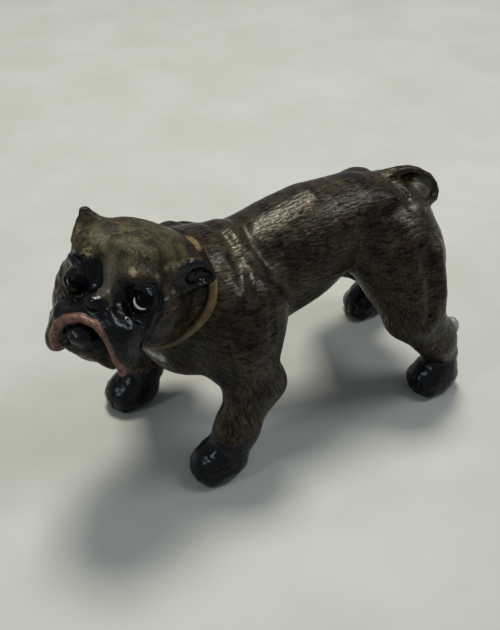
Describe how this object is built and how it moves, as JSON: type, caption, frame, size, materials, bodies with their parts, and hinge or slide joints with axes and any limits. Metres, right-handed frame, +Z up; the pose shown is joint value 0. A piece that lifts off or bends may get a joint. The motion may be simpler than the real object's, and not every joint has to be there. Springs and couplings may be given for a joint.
{
  "type": "dog figurine",
  "caption": "Small painted cast-metal bulldog standing on four paws, its head turned to one side, with a plain strap collar and a curled tail.",
  "frame": {"origin": "on the ground, under the middle of the figure's bounding box", "axes": "+Z up; the body looks along -Y, with its rump at +Y; +X to the dog's left, the side its head is turned to"},
  "size_m": [0.0436, 0.0978, 0.0603],
  "materials": {
    "coat_paint": "dark brown to black patina and paint, semi-gloss, rubbed to dull gold and bare metal on the high points",
    "head_paint": "dark brown paint, gloss black muzzle and eyes, pinkish brown lips",
    "collar_paint": "worn ochre paint, satin"
  },
  "bodies": {
    "root": {"torso": "coat_paint", "head": "head_paint", "left_ear": "head_paint", "right_ear": "head_paint", "collar": "collar_paint", "front_left_leg": "coat_paint", "front_right_leg": "coat_paint", "hind_left_leg": "coat_paint", "hind_right_leg": "coat_paint", "tail": "coat_paint"}
  },
  "joints": []
}
